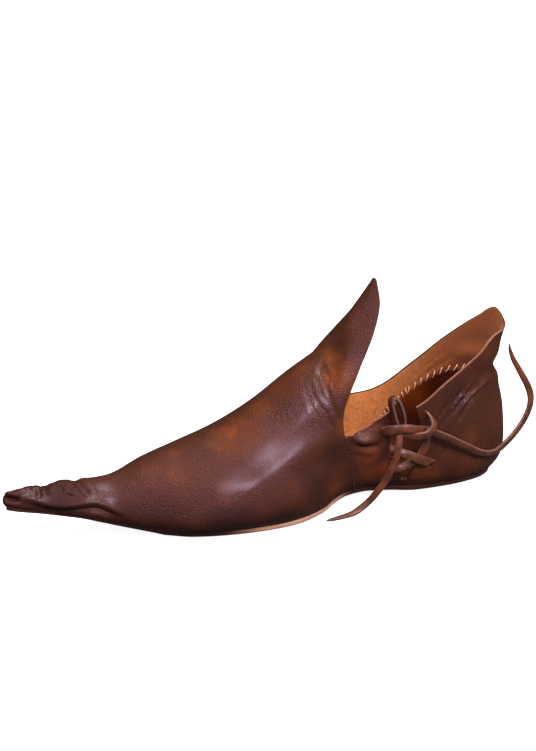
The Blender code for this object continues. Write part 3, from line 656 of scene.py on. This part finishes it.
for finish in (grain, flesh, cut):
    upper.data.materials.append(finish.material)
wall = thicken(upper, WALL)
wall.vertex_group = thin.name
wall.material_offset = 1
wall.material_offset_rim = 2
cutters = []
for hole in LACE_HOLES:
    centre = in_metres(on_side(hole.x, hole.z))
    bpy.ops.mesh.primitive_cylinder_add(vertices=20, radius=0.5 * MM, depth=8 * WALL * MM, location=centre,
                                        rotation=(math.radians(90), math.radians(hole.lean), 0))
    cutter = bpy.context.object
    cutter.scale = (HOLE_WIDE, HOLE_TALL, 1)
    cutter.data.materials.append(cut.material)
    boolean = upper.modifiers.new("lace_hole", "BOOLEAN")
    boolean.object = cutter
    boolean.operation = "DIFFERENCE"
    boolean.solver = "EXACT"
    boolean.material_mode = "TRANSFER"
    cutters.append(cutter)
soften_edges(upper, UPPER_EDGE)
finish_mesh(upper)
for cutter in cutters:
    bpy.data.objects.remove(cutter, do_unlink=True)
upper.data.set_sharp_from_angle(angle=SHARP_FROM)
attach(upper, "root")
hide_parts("upper")

# The sole is a single piece of thicker, undyed leather, sewn to the upper inside out, so that its edge
# turns up to meet the upper all round. The edge is bare along the waist and stained elsewhere. It
# rises under the point, and its upper side is dark with wear.
SOLE_TURN, SOLE_TURN_SHARE = 7.0, 0.4
# The heights of its lowest line, as x and z
SOLE_LOW = [
    (-8, 0), (62, 0), (80, 2.2), (95, 3.6), (112, 3.2), (130, 0.9), (145, 0), (222, 0), (235, 1.2),
    (250, 5.6), (262, 9.2), (284, 15.6), (308, 21.8), (330, 27.3)]
# The turn of its edge, as shares of the way in under the foot and of the way down
SOLE_EDGE = [
    (0, 0), (0.01, 0.12), (0.03, 0.28), (0.07, 0.45), (0.14, 0.62), (0.26, 0.77), (0.45, 0.89), (0.7, 0.96),
    (1, 1)]
SOLE_ACROSS = 8
FACES_UP = 0.7
WAIST_FRONT, WAIST_BACK = (205, 172), (122, 104)


def height_at(x, heights):
    """z at x on a line of heights."""
    return np.interp(x, *zip(*heights))


def sole_sections(form):
    """Closed sections of the sole, one for each pair of stations facing each other across the foot."""
    foot = form.band[:-1, 0]
    sections = []
    for i in range(len(foot) // 2 + 1):
        inner = foot[i % len(foot)]
        outer = foot[-i % len(foot)]
        width = max(np.linalg.norm((outer - inner)[:2]), 1e-6)
        share = min(SOLE_TURN, SOLE_TURN_SHARE * width) / width

        def under(across, drop):
            point = inner + (outer - inner) * across
            return (point[0], point[1], point[2] + (height_at(point[0], SOLE_LOW) - point[2]) * drop)

        flat = np.linspace(share, 1 - share, SOLE_ACROSS + 1)
        section = [under(across * share, drop) for across, drop in SOLE_EDGE[:-1]]
        section += [under(across, 1) for across in flat]
        section += [under(1 - across * share, drop) for across, drop in SOLE_EDGE[-2::-1]]
        section += [under(across, 0) for across in flat[::-1]]
        section.append(section[0])
        sections.append(section[::-1])
    return np.array(sections)


sole = mesh_piece("sole_leather", [sole_sections(shoe_form)])
tan = Finish("undyed_sole_leather", Specular_IOR_Level=0.35)
tan_cloud = tan.noise(38, detail=4.0, rough=0.6)
tan_fine = tan.noise(520, detail=3.0, rough=0.6)
scuff = tan.noise(90, detail=5.0, rough=0.75, stretch=(0.25, 1.0, 1.0), warp=0.8)
under_height = tan.along("Z")
bark = tan.mixed(tan_cloud.between(0.3, 0.72), (0.36, 0.165, 0.085, 1), (0.50, 0.27, 0.155, 1))
bark = tan.mixed((1 - under_height.between(0.0, 0.0018)) * (0.25 + 0.6 * scuff.between(0.4, 0.65)), bark,
                 (0.16, 0.085, 0.05, 1))
along_foot = tan.along("X") + 0.02 * (tan_cloud - 0.5)
waist_front, waist_back = ([in_metres((x, 0, 0)).x for x in ends] for ends in (WAIST_FRONT, WAIST_BACK))
waist = along_foot.between(*waist_front) * (1 - along_foot.between(*waist_back))
bark = tan.mixed(waist * under_height.between(0.0008, 0.002), bark, (1.0, 0.60, 0.36, 1))
bark = tan.mixed(scuff.between(0.5, 0.66) * 0.3, bark, (0.22, 0.11, 0.06, 1))
stained = (1 - waist) * under_height.between(0.0004, 0.0022)
bark = tan.mixed(stained * 0.93, bark, (0.055, 0.020, 0.010, 1))
tan.set(Base_Color=bark, Roughness=0.62 + 0.2 * (tan_fine - 0.5),
        Normal=tan.bump(0.4, 0.0004, tan_fine + scuff * 0.6))
sole.data.materials.append(tan.material)
inside = Finish("sole_inside", Roughness=0.95, Specular_IOR_Level=0.0)
foot_stain = inside.noise(30, detail=4.0, rough=0.6)
inside_fine = inside.noise(500, detail=3.0)
inside.set(Base_Color=inside.mixed(foot_stain.between(0.35, 0.7) * 0.8 + inside_fine * 0.2,
                                   (0.060, 0.021, 0.008, 1), (0.028, 0.011, 0.005, 1)))
sole.data.materials.append(inside.material)
for face in sole.data.polygons:
    face.material_index = int(face.normal.z > FACES_UP)
sole.data.set_sharp_from_angle(angle=SHARP_FROM)
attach(sole, "root")
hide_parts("sole")

# The heel stiffener is a thin, smooth piece of leather inside the heel, whip-stitched to the upper
# along its top edge with waxed linen thread.
STIFFENER_WALL, STIFFENER_EDGE = 1.5, 0.4
STIFFENER_FOOT, STIFFENER_GAP = 0.5, 0.6
STIFFENER_ROWS = 20
STIFFENER_TOP = [(-9, 70), (6, 69), (23, 65.5), (37, 59), (50, 50.5), (60, 39.5), (66, 30)]


def inside_ribs(form, depth):
    """The band behind the slit, moved inwards by depth."""
    start = form.slit + 2
    ribs = form.band[start:len(form.band) - start]
    outward = np.cross(np.gradient(ribs, axis=0), np.gradient(ribs, axis=1))
    outward *= -np.sign(outward[0, 0, 1]) / np.linalg.norm(outward, axis=2, keepdims=True)
    return ribs - outward * depth


def rib_at(rib, heights):
    """The rib's points at these heights."""
    return np.stack([np.interp(heights, rib[:, 2], rib[:, axis]) for axis in range(3)], axis=-1)


stiffener_rows = []
for rib in inside_ribs(shoe_form, WALL + STIFFENER_GAP):
    top = height_at(rib[0, 0], STIFFENER_TOP)
    heights = np.linspace(rib[0, 2] + STIFFENER_FOOT, top, STIFFENER_ROWS + 1)
    stiffener_rows.append(rib_at(rib, heights))
stiffener = mesh_piece("heel_stiffener_leather", [np.array(stiffener_rows)])
smooth_hide = Finish("smooth_stiffener_leather", Specular_IOR_Level=0.25, Coat_Roughness=0.35,
                     Coat_Weight=0.05)
worn = smooth_hide.noise(40, detail=4.0, rough=0.6)
worn_fine = smooth_hide.noise(600, detail=3.0)
polish = smooth_hide.mixed(worn.between(0.3, 0.7), (0.17, 0.040, 0.004, 1), (0.26, 0.066, 0.007, 1))
polish = smooth_hide.mixed(worn_fine.between(0.5, 0.75) * 0.3, polish, (0.12, 0.035, 0.008, 1))
lining_height = smooth_hide.along("Z")
lining_back = smooth_hide.along("X")
shaded = (1 - lining_height.between(0.030, 0.060)).maths("MAXIMUM", lining_back.between(0.112, 0.135))
polish = smooth_hide.mixed(shaded, polish, (0.060, 0.013, 0.003, 1))
smooth_hide.set(Base_Color=polish, Roughness=0.42 + 0.2 * (worn - 0.5),
                Normal=smooth_hide.bump(0.25, 0.0003, worn_fine))
stiffener.data.materials.append(smooth_hide.material)
thicken(stiffener, STIFFENER_WALL)
soften_edges(stiffener, STIFFENER_EDGE)
finish_mesh(stiffener)
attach(stiffener, "root")
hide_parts("heel_stiffener")

thread = Finish("waxed_linen_thread", Specular_IOR_Level=0.3)
twist = thread.noise(1800, detail=2.0, stretch=(1.0, 1.0, 0.4))
thread_tone = thread.mixed(twist.between(0.35, 0.7), (0.80, 0.50, 0.27, 1), (0.45, 0.22, 0.10, 1))
thread.set(Base_Color=thread_tone, Roughness=0.6 + 0.2 * (twist - 0.5),
           Normal=thread.bump(0.4, 0.0002, twist))


def curve_along(name, line):
    """A curve object through table points."""
    curve = bpy.data.curves.new(name, "CURVE")
    curve.dimensions = "3D"
    curve.twist_mode = "Z_UP"
    spline = curve.splines.new("POLY")
    spline.points.add(len(line) - 1)
    for point, place in zip(spline.points, line):
        point.co = (*in_metres(place), 1)
    return placed(name + "_line", curve)


def sewn_piece(name, path):
    """The curve object's final shape as a plain mesh that rides the shoe."""
    mesh = final_mesh(path)
    bpy.data.objects.remove(path, do_unlink=True)
    piece = placed(name, mesh)
    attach(piece, "root")
    return piece


# Every stitch arches over its line from one side to the other, and leans along it.
Stitch = namedtuple("Stitch", "spacing reach lean rise sink radius")
STITCH_STEPS, STITCH_SIDES = 6, 6


def stitches(name, finish, line, stitch):
    """Sews a row of stitches along a line of table points."""
    path = curve_along(name, line)
    sewing = path.modifiers.new("stitches", "NODES")
    tree = bpy.data.node_groups.new(name, "GeometryNodeTree")
    for way in ("INPUT", "OUTPUT"):
        tree.interface.new_socket("Geometry", in_out=way, socket_type="NodeSocketGeometry")
    sewing.node_group = tree
    spacing, reach, lean, rise, sink, radius = (size * MM for size in stitch)
    given = add_node(tree, "NodeGroupInput")
    points = add_node(tree, "GeometryNodeCurveToPoints", {"mode": "LENGTH"},
                      {"Curve": given.outputs[0], "Length": spacing})
    arc = add_node(tree, "GeometryNodeCurveQuadraticBezier", None, {
        "Resolution": STITCH_STEPS, "Start": (sink, -reach, -lean), "Middle": (-rise, 0.0, 0.0),
        "End": (sink, reach, lean)})
    section = add_node(tree, "GeometryNodeCurvePrimitiveCircle", None,
                       {"Resolution": STITCH_SIDES, "Radius": radius})
    arch = add_node(tree, "GeometryNodeCurveToMesh", None, {
        "Curve": arc.outputs["Curve"], "Profile Curve": section.outputs["Curve"], "Fill Caps": True})
    sewn = add_node(tree, "GeometryNodeInstanceOnPoints", None, {
        "Points": points.outputs["Points"], "Instance": arch.outputs["Mesh"],
        "Rotation": points.outputs["Rotation"]})
    real = add_node(tree, "GeometryNodeRealizeInstances", None, {0: sewn.outputs["Instances"]})
    smooth = add_node(tree, "GeometryNodeSetShadeSmooth", None, {0: real.outputs[0]})
    coloured = add_node(tree, "GeometryNodeSetMaterial", None,
                        {"Geometry": smooth.outputs[0], "Material": finish.material})
    add_node(tree, "NodeGroupOutput", None, {0: coloured.outputs[0]})
    return sewn_piece(name, path)


WHIP_STITCH = Stitch(5.0, 2.1, 1.7, 2.2, 0.2, 0.5)
FRONT_STITCH = Stitch(3.4, 2.0, 1.0, 2.0, 0.2, 0.42)
STITCH_LIFT, STITCH_DEPTH = 0.6, 0.7
TOP_STITCHES_TO = 47
inner_face = inside_ribs(shoe_form, WALL + STIFFENER_GAP + STIFFENER_WALL * STITCH_DEPTH)
edge_line = np.array([rib_at(rib, height_at(rib[0, 0], STIFFENER_TOP) + STITCH_LIFT) for rib in inner_face])
upper_part = edge_line[edge_line[:, 0] < TOP_STITCHES_TO]
stitches("stiffener_whip_stitches", thread, upper_part, WHIP_STITCH)
for name, side in (("stiffener_front_stitches_inner", -1), ("stiffener_front_stitches_outer", 1)):
    front_part = edge_line[(edge_line[:, 0] >= TOP_STITCHES_TO) & (edge_line[:, 1] * side > 0)]
    stitches(name, thread, front_part, FRONT_STITCH)

# The one seam of the wraparound upper runs from the notch at the instep down the inner side to the
# sole: a dark join, crossed by small stitches of dark thread.
SEAM_STITCH = Stitch(2.7, 1.1, 0.5, 0.7, 0.3, 0.32)
JOIN_WIDTH, SEAM_STEPS = 0.6, 60
SEAM = [
    (119.6, 54.4), (118.4, 51.1), (116.6, 47.8), (115.7, 42.3), (113.4, 36.4), (112, 29.4), (110.6, 22.9),
    (107.4, 14.5), (104.4, 10.4)]
seam_line = even_points(np.array([on_side(x, z) for x, z in SEAM]), 0, len(SEAM) - 1, SEAM_STEPS)
seam_line = [on_side(x, z) for x, y, z in seam_line]
dark_thread = Finish("waxed_dark_thread", Specular_IOR_Level=0.4)
dark_twist = dark_thread.noise(1800, detail=2.0)
dark_thread.set(Base_Color=dark_thread.mixed(dark_twist.between(0.54, 0.66), (0.018, 0.008, 0.006, 1),
                                             (0.24, 0.11, 0.06, 1)),
                Roughness=0.5 + 0.2 * (dark_twist - 0.5))
stitches("seam_stitches", dark_thread, seam_line, SEAM_STITCH)

join = curve_along("seam_join", seam_line)
join.data.bevel_depth = JOIN_WIDTH / 2 * MM
join_gap = sewn_piece("seam_join", join)
join_gap.data.materials.clear()
join_gap.data.materials.append(dark_thread.material)

# The lace is one flat thong of the same leather, brown on its face and greyish pink on its cut edges. It
# crosses the slit twice, is tied in a half bow on the outside, and ends in two long points.
THONG_WIDTH, THONG_THICK = 4.6, 1.9
# A route's stops give x, y and z, the way that the thong's face looks, and its width there.
STRAP_UP = [
    (54.5, -27.6, 24.9, 0, -1, 0, 4.8), (57.4, -31.6, 26.5, 0.5, -0.9, 0, 5.2),
    (61.2, -33.7, 28.6, 0.1, -1, 0.1, 5.6), (65.6, -34.9, 31, 0, -1, 0.15, 5.7),
    (69.8, -35.6, 33.5, 0, -1, 0.2, 5.6), (73.4, -35.4, 35.5, 0, -1, 0.25, 5.4),
    (77, -34.6, 36.9, -0.1, -1, 0.3, 5.2), (81.2, -32.2, 38, -0.3, -1, 0.3, 5),
    (86.5, -28.9, 40.4, -0.3, -1, 0.1, 4.8), (92, -27.6, 45, 0, -1, 0, 4.6)]
STRAP_OVER = [
    (87, -27.6, 22.9, 0, -1, 0, 4.2), (84.4, -31, 25, -0.5, -0.9, 0.2, 4.4),
    (80.6, -33, 27, 0, -1, 0.6, 4.6), (74.6, -33, 28.6, 0, -1, 0.7, 4.6),
    (69.6, -32.4, 30.2, 0, -1, 0.5, 4.8), (66.2, -32.4, 32.6, 0.1, -1, 0.2, 5),
    (64, -32.6, 36.2, 0.3, -1, 0, 5), (62.6, -33.2, 40.6, 0.5, -1, 0, 4.4), (62, -34, 45, 0.7, -1, 0, 3.6),
    (61.6, -35, 49.6, 0.8, -1, 0, 3)]
STRAP_KNOT = [
    (98, -27.2, 52, 0, -1, 0, 4.6), (94.6, -30.4, 53, 0.4, -0.9, 0, 5.2),
    (91.6, -34.6, 55.2, 0.4, -0.9, 0.1, 5.9), (88.6, -37.4, 56.7, 0.1, -1, 0.2, 5.8),
    (84.5, -38.8, 57.2, 0, -1, 0.2, 5.5), (79.6, -39, 57, 0, -1, 0.3, 5.2),
    (74, -38.6, 55.6, 0, -1, 0.3, 4.9), (68.6, -37.5, 54, 0.1, -1, 0.3, 4.6),
    (63.6, -35.8, 52.6, 0.2, -1, 0.2, 4.2), (60.5, -34.6, 51.8, 0.2, -1, 0, 3.8)]
RING = [
    (63, -27.4, 59, -0.4, -1, 0, 4.6), (61.6, -31.4, 60.6, -0.8, -0.6, 0.2, 5),
    (60.4, -35.4, 59.6, -0.8, -0.7, 0.3, 5), (60, -38.2, 56.8, -0.5, -0.9, 0.2, 5.2),
    (61.6, -39.6, 53.8, -0.1, -1, 0, 5.2), (65.4, -39.9, 51.3, 0, -1, -0.1, 5),
    (70.7, -39.3, 50.6, 0.1, -1, -0.1, 4.8), (76.4, -37.8, 51.6, 0.2, -1, -0.1, 4.6),
    (81.6, -36.2, 53.2, 0.2, -1, 0, 4.2)]
LOOP = [
    (83.4, -35, 50.6, 0.5, -1, 0, 3.6), (84.2, -35.5, 55.4, 0.9, -0.4, 0, 4),
    (85.6, -36.3, 60.1, 0.95, -0.3, 0, 4.4), (87.8, -37.1, 65.3, 0.95, -0.3, -0.1, 4.5),
    (89.6, -37.6, 70.9, 0.95, -0.3, -0.1, 4.5), (90.6, -37.7, 75.4, 0.95, -0.3, 0, 4.5),
    (89.9, -37.7, 78.3, 0.5, -0.2, 0.8, 4.5), (87.9, -37.6, 78.7, -0.2, 0, 1, 4.5),
    (85.9, -37.6, 76.4, -0.8, 0.2, 0.6, 4.5), (84.2, -37.6, 72.4, -0.95, 0.3, 0.2, 4.4),
    (82.2, -37.3, 67.3, -0.95, 0.3, 0.2, 4.3), (80.8, -36.6, 62.2, -0.95, 0.3, 0, 4.2),
    (80.2, -35.8, 57.2, -0.95, -0.3, 0, 4), (80.3, -35.2, 52, -0.5, -1, 0, 3.6)]
FRONT_END = [
    (82.9, -36.2, 56, 0.1, -1, 0, 4), (83.6, -37.6, 52.6, 0.2, -1, 0.1, 4.1),
    (84.4, -39, 49.4, 0.4, -1, 0.1, 4.2), (85.1, -40, 46, 0.5, -1, 0.1, 4.2),
    (86, -40.5, 41.2, 0.6, -1, 0.2, 4.2), (87.4, -40.3, 35.5, 0.6, -1, 0.2, 4.3),
    (91, -39.5, 26.6, 0.6, -1, 0.3, 4.4), (95.3, -38.4, 18.5, 0.5, -1, 0.4, 4.4),
    (100.6, -37.1, 10.9, 0.3, -1, 0.7, 4.3), (106.4, -36.6, 5.6, 0.1, -0.7, 1, 4.2),
    (112.6, -36.7, 2.2, 0, -0.25, 1, 4), (119.5, -37.4, 1.15, 0, 0, 1, 3.5),
    (126.7, -38.5, 1.1, 0, 0, 1, 2.4), (132.6, -39, 1.05, 0, 0, 1, 0.7)]
BACK_END = [
    (66, -35.4, 52.4, 0, -1, -0.2, 4.2), (61, -36.3, 51.2, 0, -1, -0.4, 4.4),
    (55.6, -36.5, 48.6, 0, -0.9, -0.4, 4.6), (48.6, -36.3, 44.8, 0, -0.9, -0.4, 4.6),
    (40.8, -35.8, 40, 0, -0.9, -0.4, 4.6), (32.5, -35, 35, 0, -0.9, -0.4, 4.6),
    (24.4, -33.8, 30, 0, -0.9, -0.4, 4.6), (17.1, -32.2, 27, 0, -0.9, -0.4, 4.5),
    (10.5, -30, 26, -0.1, -0.95, -0.3, 4.4), (4.6, -27.4, 26.6, -0.2, -1, -0.1, 4.3),
    (-1.4, -24.6, 28.8, -0.3, -1, 0, 4.3), (-7.8, -22, 32.2, -0.4, -1, 0.1, 4.4),
    (-13.8, -19.8, 36.9, -0.4, -1, 0.1, 4.5), (-19, -18, 43.2, -0.3, -1, 0.1, 4.5),
    (-21.8, -16.8, 49.6, -0.2, -1, 0, 4.5), (-22.2, -15.8, 56, -0.1, -1, -0.1, 4.5),
    (-20, -14.8, 62.8, 0, -1, -0.1, 4.4), (-16.4, -13.8, 69.6, 0, -1, -0.1, 4.2),
    (-12.6, -12.8, 76.2, 0, -1, -0.1, 3.7), (-9.2, -12, 82.2, 0, -1, 0, 3), (-7, -11.2, 88, 0, -1, 0, 2),
    (-6, -10.7, 93, 0, -1, 0, 0.7)]
THONG_CORNER, THONG_STEP = 0.3, 1.3
# The ring of corners round the thong: how far across and through, and whether it is face, edge or back
THONG_RING = [(1, 1, -1, 0, 0.0), (-1, 1, 1, 0, 0.0), (-1, 1, 0, -1, 1.0), (-1, -1, 0, 1, 1.0),
              (-1, -1, 1, 0, 2.0), (1, -1, -1, 0, 2.0), (1, -1, 0, 1, 1.0), (1, 1, 0, -1, 1.0)]


def thong_bundle(name, routes):
    """One mesh of flat thongs along their routes; gives the object and each route's centre line."""
    bm = bmesh.new()
    side = bm.verts.layers.float.new("thong_side")
    lines = []
    for route in routes:
        stops = np.array(route, float)
        count = max(6, round(run_lengths(stops[:, :3])[-1] / THONG_STEP))
        knots = run_lengths(stops[:, :3], 0.5)
        fine = smooth_through(knots, stops, np.linspace(0, knots[-1], THONG_SAMPLES))
        length = run_lengths(fine[:, :3])
        wanted = np.linspace(0, length[-1], count + 1)
        path = np.stack([np.interp(wanted, length, fine[:, axis]) for axis in range(7)], axis=1)
        centres = [in_metres(place) for place in path]
        lines.append(centres)
        rings = []
        for i, centre in enumerate(centres):
            along = (centres[min(i + 1, count)] - centres[max(i - 1, 0)]).normalized()
            face = Vector((-path[i, 3], path[i, 4], path[i, 5]))
            face = (face - along * face.dot(along)).normalized()
            across = along.cross(face)
            half_width = max(path[i, 6], 0.5) / 2 * MM
            half_thick = min(THONG_THICK / 2 * MM, half_width * 1.1)
            corner = min(THONG_CORNER * MM, half_width * 0.4, half_thick * 0.4)
            ring = []
            for out, through, in_out, in_through, kind in THONG_RING:
                vert = bm.verts.new(centre + across * (out * half_width + in_out * corner)
                                    + face * (through * half_thick + in_through * corner))
                vert[side] = kind
                ring.append(vert)
            rings.append(ring)
        corners = len(THONG_RING)
        for i in range(count):
            for k in range(corners):
                turn = (k + 1) % corners
                made = bm.faces.new((rings[i][k], rings[i][turn], rings[i + 1][turn], rings[i + 1][k]))
                made.smooth = True
        bm.faces.new(rings[0])
        bm.faces.new(rings[-1])
    bmesh.ops.recalc_face_normals(bm, faces=bm.faces)
    mesh = bpy.data.meshes.new(name)
    bm.to_mesh(mesh)
    bm.free()
    mesh.set_sharp_from_angle(angle=SHARP_FROM)
    piece = placed(name, mesh)
    piece.data.materials.append(thong.material)
    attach(piece, "root")
    return piece, lines


thong = Finish("thong_leather", Specular_IOR_Level=0.4, Coat_Roughness=0.25, Coat_Weight=0.25)
thong_side = thong.node("ShaderNodeAttribute", {"attribute_name": "thong_side"}, output="Fac")
rub = thong.noise(120, detail=4.0, rough=0.65)
strand = thong.noise(1100, detail=3.0, rough=0.6)
face_tone = thong.mixed(rub.between(0.35, 0.65), (0.058, 0.019, 0.008, 1), (0.16, 0.046, 0.013, 1))
back_tone = thong.mixed(rub, (0.05, 0.018, 0.010, 1), (0.11, 0.036, 0.016, 1))
rim_tone = thong.mixed(strand.between(0.35, 0.65), (0.21, 0.110, 0.09, 1), (0.09, 0.044, 0.032, 1))
lace_tone = thong.mixed(thong_side.between(0.0, 1.0), face_tone, rim_tone)
lace_tone = thong.mixed(thong_side.between(1.0, 2.0), lace_tone, back_tone)
thong.set(Base_Color=lace_tone, Roughness=0.5 + 0.25 * (rub - 0.5),
          Normal=thong.bump(0.35, 0.0003, strand + rub * 0.5))


crossings, _ = thong_bundle("lace_crossing_straps", [STRAP_UP, STRAP_OVER])
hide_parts("lace_crossings")
knot, _ = thong_bundle("lace_knot_straps", [STRAP_KNOT, RING])
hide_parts("lace_knot")
for name, route, far_end, node in (("lace_standing_loop", LOOP, "object", "lace_loop"),
                                   ("lace_front_end", FRONT_END, "bare", "lace_end_front"),
                                   ("lace_back_end", BACK_END, "bare", "lace_end_back")):
    strand, (line,) = thong_bundle(name, [route])
    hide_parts(node)
